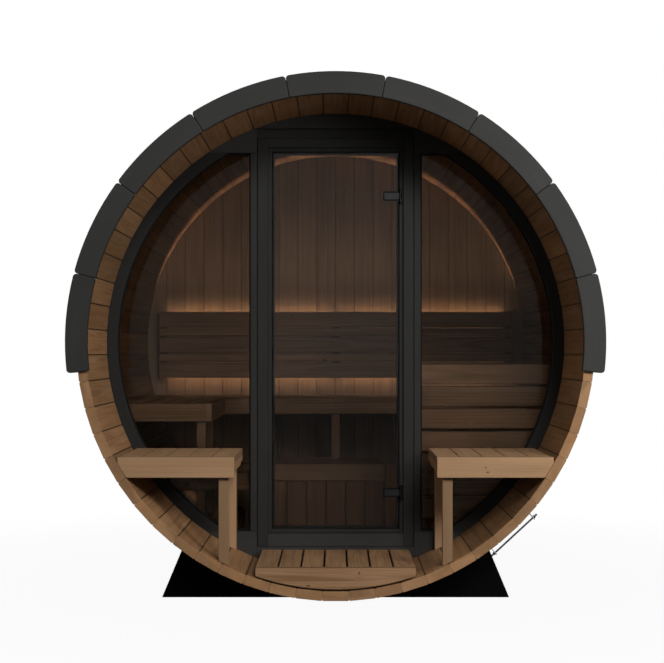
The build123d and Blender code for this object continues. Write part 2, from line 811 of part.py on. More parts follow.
with BuildPart() as light_strips:
    with BuildSketch(upright(rest_back + fit + strip_depth)):
        for sign in (-1, 1):
            for strip_top in (backrest_top - fit, backrest_bottom + strip_height + fit):
                side_block(
                    sign,
                    rail_width / 2 + fit,
                    backrest_half_width - rail_width - fit,
                    strip_top - strip_height,
                    strip_top,
                )
    extrude(amount=strip_depth)
light_strips.part.label = "light_strips"
export_step(light_strips.part, "parts/light_strips.step")

# Slatted screen behind the right window, on a batten behind the window post
screen_back = wall_back + screen_stand_off + screen_thickness
with BuildPart() as side_screen:
    with BuildSketch(upright(screen_back)):
        for number in range(screen_count):
            row_top = screen_top - number * screen_pitch
            block(post_inner, very_wide, row_top - screen_board, row_top)
        inside_shell()
    extrude(amount=screen_thickness)
side_screen.part.label = "side_screen"
export_step(side_screen.part, "parts/side_screen.step")

with BuildPart() as screen_batten:
    screen_bottom = screen_top - (screen_count - 1) * screen_pitch - screen_board
    with BuildSketch(upright(wall_back + screen_stand_off - fit)):
        block(post_inner, post_inner + screen_batten_width, screen_bottom, screen_top)
    extrude(amount=screen_stand_off - 2 * fit)
screen_batten.part.label = "screen_batten"
export_step(screen_batten.part, "parts/screen_batten.step")
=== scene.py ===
from math import pi, radians

import bmesh
import bpy
import numpy as np
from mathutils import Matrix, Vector


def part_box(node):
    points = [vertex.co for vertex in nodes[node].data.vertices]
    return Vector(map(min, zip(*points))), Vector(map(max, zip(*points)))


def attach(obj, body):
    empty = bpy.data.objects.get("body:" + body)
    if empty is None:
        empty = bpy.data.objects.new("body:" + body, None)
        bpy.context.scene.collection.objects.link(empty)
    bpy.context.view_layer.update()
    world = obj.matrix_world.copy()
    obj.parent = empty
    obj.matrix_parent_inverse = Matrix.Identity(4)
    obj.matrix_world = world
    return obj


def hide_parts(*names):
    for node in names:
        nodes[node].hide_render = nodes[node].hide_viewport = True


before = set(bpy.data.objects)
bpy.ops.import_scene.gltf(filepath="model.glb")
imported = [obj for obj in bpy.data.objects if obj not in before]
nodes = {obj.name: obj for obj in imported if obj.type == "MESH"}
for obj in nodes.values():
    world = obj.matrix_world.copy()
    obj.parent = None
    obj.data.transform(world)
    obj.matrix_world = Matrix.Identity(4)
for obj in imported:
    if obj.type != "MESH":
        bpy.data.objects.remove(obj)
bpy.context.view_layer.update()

# Barrel shell
# Sixty staves of planed softwood lie side by side round the barrel, flat inside and bevelled along
# their sides. Nothing but the steel bands holds them, and their joints show as fine dark lines of
# painted shade and dirt.
axis_height = (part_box("staves_top")[1].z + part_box("staves_bottom")[0].z) / 2
barrel_radius = (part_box("staves_top")[1].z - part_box("staves_bottom")[0].z) / 2
front_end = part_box("staves_top")[0].y
back_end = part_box("staves_top")[1].y
stave_edge = 0.001
flat_within = radians(1)
edge_from = radians(38)
board_shift = 40.0
unshaded_skin = 0.03
stave_light = (0.335, 0.193, 0.096, 1)
stave_dark = (0.18, 0.09, 0.037, 1)
knot_brown = (0.075, 0.033, 0.014, 1)
# Painted shade that darkens the staves' inner faces inside the dim cabin.
cabin_shade_tone = (0.43, 0.44, 0.47, 1)
dice = np.random.default_rng(7)


def separate_solids(mesh):
    """The points and triangles of a CAD node and the solid that each point belongs to. Triangles come
    solid by solid. Each place has two random numbers r and s, and an edge from a to b counts as
    r_a s_b - r_b s_a, which cancels out over a closed solid, so a solid ends where their running sum
    is zero. Points are then shared inside a solid and never between two that touch."""
    mesh.calc_loop_triangles()
    corners = np.empty(3 * len(mesh.loop_triangles), int)
    mesh.loop_triangles.foreach_get("vertices", corners)
    points = np.empty(3 * len(mesh.vertices))
    mesh.vertices.foreach_get("co", points)
    points = points.reshape(-1, 3)
    cell_start, cell_size, closed = 3.7e-6, 2e-5, 1e-7
    cell = np.round((points + cell_start) / cell_size).astype(int)
    spot = np.unique(cell, axis=0, return_inverse=True)[1].ravel()[corners].reshape(-1, 3)
    r, s = np.random.default_rng(1).uniform(-1, 1, (2, spot.max() + 1))
    after = np.roll(spot, -1, axis=1)
    running = np.cumsum((r[spot] * s[after] - r[after] * s[spot]).sum(1))
    ends = np.abs(running) < closed
    solid = np.cumsum(ends) - ends
    own_spot = (solid[:, None] * len(r) + spot).ravel()
    kept, first, shared = np.unique(own_spot, return_index=True, return_inverse=True)
    return points[corners[first]], shared.reshape(-1, 3), kept // len(r)


def whole_faces(name, edge, turns):
    """A copy of a CAD node with the loose triangles of each solid joined into flat faces and its
    edges eased by a bevel of the given width. The copy is a new piece, and the node stays as it is."""
    points, triangles, solid = separate_solids(nodes[name].data)
    mesh = bpy.data.meshes.new(name + "_finished")
    mesh.from_pydata(points, [], triangles.tolist())
    board_grain(mesh, solid, turns)
    shape = bmesh.new()
    shape.from_mesh(mesh)
    bmesh.ops.dissolve_limit(shape, angle_limit=flat_within, verts=shape.verts, edges=shape.edges)
    shape.to_mesh(mesh)
    shape.free()
    piece = bpy.data.objects.new(name + "_finished", mesh)
    bpy.context.scene.collection.objects.link(piece)
    easing = piece.modifiers.new("eased edges", "BEVEL")
    easing.width = edge
    easing.segments = 2
    easing.limit_method = "ANGLE"
    easing.angle_limit = edge_from
    easing.use_clamp_overlap = True
    return piece


def board_grain(mesh, number, turns):
    """Gives each vertex a number for its board between 0 and 1, its place as metres along, across
    and through the board, with the longest side as the length and the shift times the number added
    along it, the board's half sizes the same way, and the direction of its length. Boards that go
    round the barrel are measured by radius, by arc from their own middle, and along the barrel."""
    place = np.empty(3 * len(mesh.vertices))
    mesh.vertices.foreach_get("co", place)
    place = place.reshape(-1, 3)
    count = number.max() + 1
    sides = np.broadcast_to(np.eye(3), (count, 3, 3))
    if turns:
        flat = place[:, 0] + 1j * (place[:, 2] - axis_height)
        middle = np.bincount(number, flat.real) + 1j * np.bincount(number, flat.imag)
        middle /= abs(middle)
        around = barrel_radius * np.angle(flat / middle[number])
        place = np.stack([abs(flat), around, place[:, 1]], axis=1)
        out, up, none = middle.real, middle.imag, 0 * middle.real
        sides = np.stack([out, none, up, -up, none, out, none, none + 1, none], axis=1).reshape(-1, 3, 3)
    low = np.full((count, 3), np.inf)
    high = np.full((count, 3), -np.inf)
    np.minimum.at(low, number, place)
    np.maximum.at(high, number, place)
    by_length = np.argsort(low - high, axis=1)
    halves = np.take_along_axis((high - low) / 2, by_length, axis=1)
    lengthwise = sides[np.arange(count), by_length[:, 0]]
    centred = place - ((low + high) / 2)[number]
    grain = np.take_along_axis(centred, by_length[number], axis=1)
    board = dice.uniform(0, 1, count)
    grain[:, 0] += board_shift * board[number]
    measures = {"grain": grain, "halves": halves[number], "lengthwise": lengthwise[number]}
    for label, values in measures.items():
        held = mesh.attributes.new(label, "FLOAT_VECTOR", "POINT")
        held.data.foreach_set("vector", values.astype(np.float32).ravel())
    held = mesh.attributes.new("board", "FLOAT", "POINT")
    held.data.foreach_set("value", board[number].astype(np.float32))


def sum_node(tree, operation, *values, kind="ShaderNodeMath"):
    """One arithmetic node. Each value is a number or the output of another node."""
    node = tree.nodes.new(kind)
    node.operation = operation
    for socket, value in zip(node.inputs, values):
        if isinstance(value, bpy.types.NodeSocket):
            tree.links.new(value, socket)
        else:
            socket.default_value = value
    whole = kind == "ShaderNodeVectorMath" and operation not in ("LENGTH", "DOT_PRODUCT")
    return node.outputs["Vector" if whole else "Value"]


def step_node(tree, value, start, stop, low=0.0, high=1.0):
    """A smooth change from low to high while the value goes from start to stop."""
    node = tree.nodes.new("ShaderNodeMapRange")
    node.interpolation_type = "SMOOTHSTEP"
    tree.links.new(value, node.inputs["Value"])
    for name, number in (("From Min", start), ("From Max", stop), ("To Min", low), ("To Max", high)):
        node.inputs[name].default_value = number
    return node.outputs["Result"]


def blend_node(tree, share, first, second, way="MIX"):
    """A mix of two colours, each given as a colour or as the output of another node."""
    node = tree.nodes.new("ShaderNodeMix")
    node.data_type = "RGBA"
    node.blend_type = way
    for name, value in (("Factor_Float", share), ("A_Color", first), ("B_Color", second)):
        socket = next(s for s in node.inputs if s.identifier == name)
        if isinstance(value, bpy.types.NodeSocket):
            tree.links.new(value, socket)
        else:
            socket.default_value = value
    return next(s for s in node.outputs if s.identifier == "Result_Color")


def scaled_colour(tree, colour, factor):
    """A colour times the output of another node."""
    node = tree.nodes.new("ShaderNodeVectorMath")
    node.operation = "SCALE"
    tree.links.new(colour, node.inputs[0])
    tree.links.new(factor, node.inputs["Scale"])
    return node.outputs["Vector"]


def split_node(tree, value, kind="ShaderNodeSeparateXYZ"):
    """The three parts of a place or, with the other kind of node, of a colour."""
    node = tree.nodes.new(kind)
    tree.links.new(value, node.inputs[0])
    return node.outputs


def noise_node(tree, place, stretch, detail=2.0, roughness=0.5):
    """Noise between 0 and 1, with so many waves a metre along, across and through the board."""
    node = tree.nodes.new("ShaderNodeTexNoise")
    node.inputs["Scale"].default_value = 1.0
    node.inputs["Detail"].default_value = detail
    node.inputs["Roughness"].default_value = roughness
    scaled = sum_node(tree, "MULTIPLY", place, stretch, kind="ShaderNodeVectorMath")
    tree.links.new(scaled, node.inputs["Vector"])
    return node.outputs["Fac"]


def grain_group(name, inputs):
    """A new shader group, its input node and its output node. It takes the named values, each a
    colour or a number, and gives a colour, a roughness and a height."""
    group = bpy.data.node_groups.new(name, "ShaderNodeTree")
    for label, value in inputs.items():
        kind = "NodeSocketColor" if isinstance(value, tuple) else "NodeSocketFloat"
        socket = group.interface.new_socket(label, in_out="INPUT", socket_type=kind)
        socket.default_value = value
    group.interface.new_socket("Color", in_out="OUTPUT", socket_type="NodeSocketColor")
    for label in ("Roughness", "Height"):
        group.interface.new_socket(label, in_out="OUTPUT", socket_type="NodeSocketFloat")
    return group, group.nodes.new("NodeGroupInput"), group.nodes.new("NodeGroupOutput")


def attribute_node(tree, name):
    node = tree.nodes.new("ShaderNodeAttribute")
    node.attribute_name = name
    return node


def seam_mask(tree, place, width):
    """0 within a width of the board's two long sides and 1 between them, where a board's half width
    less the distance from its middle is the distance to the nearer side."""
    halves = split_node(tree, attribute_node(tree, "halves").outputs["Vector"])
    offset = sum_node(tree, "ABSOLUTE", split_node(tree, place)["Y"])
    inside = sum_node(tree, "SUBTRACT", halves["Y"], offset)
    return step_node(tree, sum_node(tree, "DIVIDE", inside, width), 0.7, 1.3)


def make_softwood():
    """Sawn softwood. A growth ring is a band of equal distance from the tree's heart, a line that
    wanders beside the board, so rings are the fraction of that distance over the ring's width.
    Knots are sparse round spots that push the rings aside, and fibres are long thin streaks. Painted
    shade and dirt in the joints darken each board along its two long sides but not on its sawn ends,
    where the normal lies along the board."""
    group, given, result = grain_group(
        "Sawn Softwood",
        {"Light": stave_light, "Dark": stave_dark, "Knot": knot_brown, "Ring Width": 0.006,
         "Rings": 0.6, "Streaks": 0.5, "Knots": 0.3, "Difference": 0.3, "Seam": 0.0015,
         "Seam Shade": 0.6})
    warm_tone = (1.0, 0.86, 0.7, 1)
    heart_spread = 0.17
    heart_depth = 0.035
    heart_wander = 0.045
    knot_cells = 4.5
    knot_radius = 0.011
    knot_reach = 0.05
    place = attribute_node(group, "grain").outputs["Vector"]
    board = attribute_node(group, "board").outputs["Fac"]
    chance = group.nodes.new("ShaderNodeTexWhiteNoise")
    chance.noise_dimensions = "1D"
    group.links.new(board, chance.inputs["W"])
    own = split_node(group, chance.outputs["Color"], "ShaderNodeSeparateColor")
    parts = split_node(group, place)

    flat = group.nodes.new("ShaderNodeCombineXYZ")
    group.links.new(parts["X"], flat.inputs["X"])
    group.links.new(parts["Y"], flat.inputs["Y"])
    cells = group.nodes.new("ShaderNodeTexVoronoi")
    cells.voronoi_dimensions = "2D"
    cells.inputs["Scale"].default_value = knot_cells
    group.links.new(flat.outputs["Vector"], cells.inputs["Vector"])
    cell_own = split_node(group, cells.outputs["Color"], "ShaderNodeSeparateColor")
    knotty = sum_node(group, "LESS_THAN", cell_own["Red"], given.outputs["Knots"])
    away = sum_node(group, "DIVIDE", cells.outputs["Distance"], knot_cells)
    size = sum_node(group, "MULTIPLY_ADD", cell_own["Green"], 0.9, 0.5)
    away = sum_node(group, "DIVIDE", away, size)
    knot = sum_node(group, "MULTIPLY", knotty, step_node(group, away, knot_radius, knot_radius / 3))
    push = sum_node(group, "MULTIPLY", knotty, step_node(group, away, knot_reach, 0.0, 0.0, 0.02))

    slow = noise_node(group, place, (0.9, 3.0, 3.0), detail=1.0)
    swell = sum_node(group, "MULTIPLY_ADD", slow, heart_wander, push)
    heart_side = sum_node(group, "MULTIPLY_ADD", own["Red"], heart_spread, -heart_spread / 2)
    side = sum_node(group, "ADD", sum_node(group, "ADD", parts["Y"], heart_side), swell)
    deep = sum_node(group, "MULTIPLY_ADD", own["Green"], 3 * heart_depth, heart_depth)
    deep = sum_node(group, "ADD", sum_node(group, "ADD", parts["Z"], deep), swell)
    reach = sum_node(group, "SQRT", sum_node(
        group, "ADD", sum_node(group, "POWER", side, 2.0), sum_node(group, "POWER", deep, 2.0)))
    turn = sum_node(group, "FRACT", sum_node(group, "DIVIDE", reach, given.outputs["Ring Width"]))
    late = sum_node(
        group, "MULTIPLY", step_node(group, turn, 0.25, 0.85), step_node(group, turn, 1.0, 0.9))

    fibre = noise_node(group, place, (5.0, 420.0, 420.0))
    streak = noise_node(group, place, (1.6, 42.0, 42.0), detail=3.0, roughness=0.6)
    cloud = noise_node(group, place, (2.5, 9.0, 9.0))
    ringed = sum_node(group, "MULTIPLY", late, given.outputs["Rings"])
    streaked = sum_node(group, "MULTIPLY", step_node(group, streak, 0.35, 0.72), given.outputs["Streaks"])
    clouded = step_node(group, cloud, 0.3, 0.75, -0.12, 0.25)
    fibred = step_node(group, fibre, 0.3, 0.7, -0.06, 0.1)
    depth = sum_node(group, "ADD", sum_node(group, "ADD", ringed, streaked), clouded)
    depth = sum_node(group, "ADD", depth, fibred)
    shape = group.nodes.new("ShaderNodeNewGeometry")
    lengthwise = attribute_node(group, "lengthwise").outputs["Vector"]
    cosine = sum_node(
        group, "DOT_PRODUCT", shape.outputs["True Normal"], lengthwise, kind="ShaderNodeVectorMath")
    sawn_end = sum_node(group, "ABSOLUTE", cosine)
    calm = step_node(group, sawn_end, 0.5, 0.7, 1.0, 0.35)
    depth = sum_node(group, "MULTIPLY_ADD", sum_node(group, "SUBTRACT", depth, 0.3), calm, 0.3)
    depth.node.use_clamp = True
    wood = blend_node(group, depth, given.outputs["Light"], given.outputs["Dark"])
    tone = sum_node(group, "SUBTRACT", own["Blue"], 0.5)
    tone = sum_node(group, "MULTIPLY_ADD", tone, given.outputs["Difference"], 1.0)
    warm = sum_node(group, "MULTIPLY", own["Red"], given.outputs["Difference"])
    warmed = blend_node(group, warm, scaled_colour(group, wood, tone), warm_tone, "MULTIPLY")
    knotted = blend_node(group, knot, warmed, given.outputs["Knot"])
    seam = seam_mask(group, place, given.outputs["Seam"])
    seam = sum_node(group, "MAXIMUM", seam, step_node(group, sawn_end, 0.5, 0.7))
    seam = sum_node(group, "MAXIMUM", seam, given.outputs["Seam Shade"])
    group.links.new(scaled_colour(group, knotted, seam), result.inputs["Color"])
    group.links.new(step_node(group, streak, 0.2, 0.8, 0.5, 0.68), result.inputs["Roughness"])
    height = sum_node(group, "MULTIPLY_ADD", late, 0.4, fibre)
    group.links.new(height, result.inputs["Height"])
    return group


softwood = make_softwood()


def new_finish(name):
    """A new material, its node tree and its surface shader."""
    material = bpy.data.materials.new(name)
    material.use_nodes = True
    return material, material.node_tree, material.node_tree.nodes["Principled BSDF"]


def give_relief(tree, height, strength, depth):
    """Turns a height into bumps of that strength and depth, in metres, on the surface."""
    relief = tree.nodes.new("ShaderNodeBump")
    relief.inputs["Strength"].default_value = strength
    relief.inputs["Distance"].default_value = depth
    tree.links.new(height, relief.inputs["Height"])
    tree.links.new(relief.outputs["Normal"], tree.nodes["Principled BSDF"].inputs["Normal"])


def grained_finish(name, group, settings, bump=0.3, bump_depth=0.0006, gloss=0.22):
    """A material whose colour, roughness and relief come from a grain group with its own values."""
    material, tree, surface = new_finish(name)
    grain = tree.nodes.new("ShaderNodeGroup")
    grain.node_tree = group
    for label, value in settings.items():
        grain.inputs[label].default_value = value
    tree.links.new(grain.outputs["Color"], surface.inputs["Base Color"])
    tree.links.new(grain.outputs["Roughness"], surface.inputs["Roughness"])
    give_relief(tree, grain.outputs["Height"], bump, bump_depth)
    surface.inputs["Specular IOR Level"].default_value = gloss
    return material


def painted_cabin_shade(material, start, radius, tone):
    """Darkens a wood where it is behind the depth start and nearer the barrel's axis than the radius,
    as painted shade for the dim inside of the cabin."""
    depth_fade, radius_fade = 0.01, 0.003
    tree = material.node_tree
    surface = tree.nodes["Principled BSDF"]
    parts = split_node(tree, tree.nodes.new("ShaderNodeTexCoord").outputs["Object"])
    side = sum_node(tree, "POWER", parts["X"], 2.0)
    rise = sum_node(tree, "POWER", sum_node(tree, "SUBTRACT", parts["Z"], axis_height), 2.0)
    away = sum_node(tree, "SQRT", sum_node(tree, "ADD", side, rise))
    inside = sum_node(tree, "MULTIPLY", step_node(tree, parts["Y"], start, start + depth_fade),
                      step_node(tree, away, radius, radius - radius_fade))
    dark = blend_node(tree, inside, (1, 1, 1, 1), tone)
    colour = surface.inputs["Base Color"].links[0].from_socket
    tree.links.new(blend_node(tree, 1.0, colour, dark, "MULTIPLY"), surface.inputs["Base Color"])


# The staves' darkened seams are painted shade and dirt in their joints.
stave_wood = grained_finish(
    "Stave Wood", softwood,
    {"Knots": 0.35, "Rings": 0.4, "Streaks": 0.35, "Difference": 0.5, "Seam": 0.0028,
     "Seam Shade": 0.22}, bump=0.35)
cabin_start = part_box("cabin_floor")[0].y
# The staves' inner faces inside the cabin get painted shade for its dim light.
painted_cabin_shade(stave_wood, cabin_start, barrel_radius - unshaded_skin, cabin_shade_tone)
for name in ("staves_top", "staves_left", "staves_right", "staves_bottom"):
    staves = whole_faces(name, stave_edge, turns=True)
    staves.data.materials.append(stave_wood)
    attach(staves, "root")
    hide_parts(name)

# Steel bands
# Three straps of stainless steel go round the staves. Low on the right each strap ends in two bent
# lugs, and a threaded rod with a nut outside each lug draws them together.
brushed_grey = (0.52, 0.52, 0.53, 1)
rod_grey = (0.09, 0.09, 0.095, 1)
border_black = (0.003, 0.003, 0.003, 1)
thread_pitch = 0.0015
metal_edge = 0.0004
sharp_from = radians(32)


def round_faces(name):
    """The same copy of a CAD node for turned and bent metal, shaded smooth except at its edges."""
    piece = whole_faces(name, metal_edge, turns=False)
    piece.data.shade_smooth()
    piece.data.set_sharp_from_angle(angle=sharp_from)
    piece.modifiers["eased edges"].harden_normals = True
    return piece


def steel_finish(name, colour, rough, streak, threads=None, border=None, metallic=1.0, gloss=0.5):
    """Drawn steel: fine lines along the piece, worked out from noise that is short across it. A rod
    has a thread, as a wave along its length, and a cast plate a dark border, as wide as given."""
    material, tree, surface = new_finish(name)
    place = attribute_node(tree, "grain").outputs["Vector"]
    lines = noise_node(tree, place, (6.0, 900.0, 900.0))
    dull = noise_node(tree, place, (14.0, 25.0, 25.0), detail=3.0)
    tree.links.new(step_node(tree, lines, 0.3, 0.7, rough - streak, rough + streak),
                   surface.inputs["Roughness"])
    tone = blend_node(tree, step_node(tree, dull, 0.35, 0.8, 0.0, 0.5), colour,
                      tuple(0.6 * c for c in colour[:3]) + (1,))
    parts = split_node(tree, place)
    if border:
        halves = split_node(tree, attribute_node(tree, "halves").outputs["Vector"])
        offset = sum_node(tree, "MULTIPLY", attribute_node(tree, "board").outputs["Fac"], board_shift)
        along = sum_node(tree, "ABSOLUTE", sum_node(tree, "SUBTRACT", parts["X"], offset))
        across = sum_node(tree, "ABSOLUTE", parts["Y"])
        inside = sum_node(tree, "MINIMUM", sum_node(tree, "SUBTRACT", halves["X"], along),
                          sum_node(tree, "SUBTRACT", halves["Y"], across))
        tone = blend_node(tree, step_node(tree, inside, 0.7 * border, border), border_black, tone)
    tree.links.new(tone, surface.inputs["Base Color"])
    height = lines
    if threads:
        wave = sum_node(tree, "SINE", sum_node(tree, "MULTIPLY", parts["X"], 2 * pi / threads))
        height = sum_node(tree, "MULTIPLY_ADD", wave, 2.0, lines)
    give_relief(tree, height, 0.4, 0.0004)
    surface.inputs["Metallic"].default_value = metallic
    surface.inputs["Specular IOR Level"].default_value = gloss
    return material


strap_steel = steel_finish("Strap Steel", brushed_grey, rough=0.34, streak=0.08)
rod_steel = steel_finish(
    "Threaded Rod Steel", rod_grey, rough=0.45, streak=0.05, threads=thread_pitch)
for name, steel in (("steel_bands", strap_steel), ("tensioner_rods", rod_steel)):
    fastening = round_faces(name)
    fastening.data.materials.append(steel)
    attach(fastening, "root")
    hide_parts(name)

# Cradles
# The barrel lies in two bearers of thick timber, sawn to its round and stained black. Nothing
# fastens them but the barrel's weight.
stain_black = (0.0035, 0.0034, 0.0033, 1)
stain_worn = (0.006, 0.0055, 0.005, 1)
cradle_edge = 0.003


def make_paint_coat():
    """A coat on planed wood. The colour drifts slowly, thin long streaks of the grain show through
    it, and worn patches are the places where a coarse noise is above its limit. Painted shade darkens
    the two long sides of each board, along its joints and edges."""
    group, given, result = grain_group(
        "Paint Coat",
        {"Coat": stain_black, "Worn": stain_worn, "Wear": 0.3, "Smooth": 0.45, "Difference": 0.1,
         "Seam": 0.002, "Seam Shade": 0.7})
    place = attribute_node(group, "grain").outputs["Vector"]
    board = attribute_node(group, "board").outputs["Fac"]
    streak = noise_node(group, place, (3.0, 130.0, 130.0), detail=3.0, roughness=0.6)
    cloud = noise_node(group, place, (2.0, 6.0, 6.0), detail=3.0)
    speck = noise_node(group, place, (240.0, 240.0, 240.0), detail=1.0)
    worn = sum_node(
        group, "MULTIPLY", step_node(group, streak, 0.45, 0.75), step_node(group, cloud, 0.4, 0.7))
    worn = sum_node(group, "MULTIPLY", worn, given.outputs["Wear"])
    coat = blend_node(group, worn, given.outputs["Coat"], given.outputs["Worn"])
    tone = sum_node(group, "MULTIPLY_ADD", sum_node(group, "SUBTRACT", board, 0.5),
                    given.outputs["Difference"], 1.0)
    tone = sum_node(group, "MULTIPLY", tone, step_node(group, cloud, 0.2, 0.8, 0.94, 1.06))
    seam = seam_mask(group, place, given.outputs["Seam"])
    seam = sum_node(group, "MAXIMUM", seam, given.outputs["Seam Shade"])
    tone = sum_node(group, "MULTIPLY", tone, seam)
    group.links.new(scaled_colour(group, coat, tone), result.inputs["Color"])
    rough = step_node(group, streak, 0.2, 0.8, -0.06, 0.1)
    rough = sum_node(group, "ADD", given.outputs["Smooth"], rough)
    group.links.new(rough, result.inputs["Roughness"])
    group.links.new(sum_node(group, "MULTIPLY_ADD", speck, 0.35, streak), result.inputs["Height"])
    return group


paint_coat = make_paint_coat()
paint_bump = 0.16
paint_depth = 0.0004
black_stain = grained_finish(
    "Black Stain", paint_coat,
    {"Coat": stain_black, "Worn": stain_worn, "Wear": 0.8, "Smooth": 0.85, "Difference": 0.3},
    gloss=0.02)
for name in ("cradle_front", "cradle_rear"):
    cradle = whole_faces(name, cradle_edge, turns=False)
    cradle.data.materials.append(black_stain)
    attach(cradle, "root")
    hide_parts(name)

# Fascia boards
# At each end nine dark grey boards, sawn to the arch and rounded at their corners, are fixed over
# the ends of the upper staves and stand up past them to hide the edge of the roof.
fascia_grey = (0.0345, 0.034, 0.0325, 1)
fascia_worn = (0.052, 0.051, 0.049, 1)
fascia_edge = 0.0045
# Its darkened board edges are painted shade along the joints and the rounded edges.
grey_paint = grained_finish(
    "Grey Paint", paint_coat,
    {"Coat": fascia_grey, "Worn": fascia_worn, "Wear": 0.6, "Smooth": 0.5, "Seam": 0.0028},
    paint_bump, paint_depth, gloss=0.08)
for name in ("fascia_front", "fascia_back"):
    fascia = whole_faces(name, fascia_edge, turns=True)
    fascia.modifiers["eased edges"].segments = 3
    fascia.data.materials.append(grey_paint)
    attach(fascia, "root")
    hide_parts(name)

# Roof
# Curved sheathing strips lie on the bands between the two arches. Bitumen shingles with mineral
# grit are nailed over them in overlapping courses, up to a row of caps along the ridge.
sheathing_edge = 0.002
sheathing_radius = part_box("roof_cover")[1].z - axis_height
eaves_angle = np.arcsin((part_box("roof_cover")[0].z - axis_height) / sheathing_radius)
course_count = 13
tab_count = 7
tab_gap = 0.006
tab_lap = 1.9
cap_lap = 1.4
shingle_thickness = 0.003
shingle_lift = 0.0042
ridge_half_angle = radians(8)
ridge_cap_count = 14
shingle_steps = 4
cap_steps = 10
grit_dark = (0.030, 0.031, 0.033, 1)
grit_light = (0.085, 0.086, 0.09, 1)


def joined_mesh(name, points, faces):
    """A new piece at the origin from an array of points and an array of faces."""
    mesh = bpy.data.meshes.new(name)
    mesh.from_pydata(points.reshape(-1, 3), [], faces.reshape(-1, faces.shape[-1]).tolist())
    mesh.update()
    piece = bpy.data.objects.new(name, mesh)
    bpy.context.scene.collection.objects.link(piece)
    return piece


def curved_slabs(angles, depths, low_radius, tilt_round, tilt_along, steps):
    """Thin slabs that follow the barrel. Slab k covers angles[k] and depths[k], each from its first
    to its second value. At the shares u round the barrel and v along it, from 0 to 1, its lower
    face has the radius low_radius + tilt_round (1 - u) + tilt_along (1 - v)."""
    count = len(angles)
    u = np.linspace(0, 1, steps + 1)
    v = np.array([0.0, 0.5, 1.0])
    angle = angles[:, 0, None] + (angles[:, 1] - angles[:, 0])[:, None] * u
    depth = depths[:, 0, None] + (depths[:, 1] - depths[:, 0])[:, None] * v
    radius = low_radius + tilt_round * (1 - u)[:, None] + tilt_along * (1 - v)
    radius = np.stack([radius, radius + shingle_thickness])
    shape = (count, 2, steps + 1, 3)
    angle = np.broadcast_to(angle[:, None, :, None], shape)
    depth = np.broadcast_to(depth[:, None, None, :], shape)
    points = np.stack(
        [radius * np.cos(angle), depth, axis_height + radius * np.sin(angle)], axis=-1)
    number = np.arange(2 * (steps + 1) * 3).reshape(2, steps + 1, 3)
    sheet = [number[:, :-1, :-1], number[:, 1:, :-1], number[:, 1:, 1:], number[:, :-1, 1:]]
    top = np.stack([s[1] for s in sheet], axis=-1).reshape(-1, 4)
    bottom = np.stack([s[0] for s in sheet], axis=-1).reshape(-1, 4)[:, ::-1]
    rim = np.concatenate([number[:, :, 0], number[:, -1, 1:], number[:, ::-1, -1][:, 1:],
                          number[:, 0, ::-1][:, 1:]], axis=1)
    sides = np.stack([rim[0, :-1], rim[0, 1:], rim[1, 1:], rim[1, :-1]], axis=-1)
    faces = np.concatenate([top, bottom, sides])
    faces = faces + (np.arange(count) * number.size)[:, None, None]
    return points, faces


def outward_normals(piece):
    """Turns every face of closed parts to the outside."""
    shape = bmesh.new()
    shape.from_mesh(piece.data)
    bmesh.ops.recalc_face_normals(shape, faces=shape.faces)
    shape.to_mesh(piece.data)
    shape.free()


def make_grit():
    """Bitumen shingle. Mineral grit is a fine cell pattern of light and dark grains, each tab has a
    tone of its own, and rain has darkened it in broad clouds."""
    material, tree, surface = new_finish("Shingle Grit")
    place = attribute_node(tree, "grain").outputs["Vector"]
    board = attribute_node(tree, "board").outputs["Fac"]
    grains = tree.nodes.new("ShaderNodeTexVoronoi")
    grains.inputs["Scale"].default_value = 650.0
    tree.links.new(place, grains.inputs["Vector"])
    own = split_node(tree, grains.outputs["Color"], "ShaderNodeSeparateColor")
    cloud = noise_node(tree, place, (6.0, 9.0, 9.0), detail=3.0)
    light = sum_node(tree, "MULTIPLY", own["Red"], step_node(tree, cloud, 0.25, 0.75, 0.35, 1.0))
    light = sum_node(tree, "MULTIPLY", light, sum_node(tree, "MULTIPLY_ADD", board, 0.6, 0.5))
    tree.links.new(blend_node(tree, light, grit_dark, grit_light), surface.inputs["Base Color"])
    tree.links.new(step_node(tree, own["Green"], 0.0, 1.0, 0.72, 0.95), surface.inputs["Roughness"])
    give_relief(tree, grains.outputs["Distance"], 0.6, 0.0008)
    return material


shingle_grit = make_grit()
roof_sheathing = whole_faces("roof_cover", sheathing_edge, turns=True)
roof_sheathing.data.materials.append(shingle_grit)
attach(roof_sheathing, "root")
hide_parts("roof_cover")

course_step = (pi / 2 - eaves_angle) / course_count
tab_width = (back_end - front_end) / tab_count
course, tab = np.meshgrid(np.arange(course_count), np.arange(tab_count + 1), indexing="ij")
course, tab = course.ravel(), tab.ravel()
tab_start = front_end + (tab - 0.5 * (course % 2)) * tab_width
tab_ends = np.stack([tab_start + tab_gap / 2, tab_start + tab_width - tab_gap / 2], axis=1)
tab_ends = np.clip(tab_ends, front_end, back_end)
whole = tab_ends[:, 1] - tab_ends[:, 0] > 4 * tab_gap
course, tab_ends = course[whole], tab_ends[whole]
lower_edge = eaves_angle + course * course_step
right_tabs = np.stack([lower_edge, lower_edge + tab_lap * course_step], axis=1)
right_tabs = np.minimum(right_tabs, pi / 2)
all_tabs = np.concatenate([right_tabs, pi - right_tabs])
points, faces = curved_slabs(
    all_tabs, np.concatenate([tab_ends, tab_ends]), sheathing_radius, shingle_lift, 0.0, shingle_steps)
roof_shingles = joined_mesh("roof_shingles", points, faces)

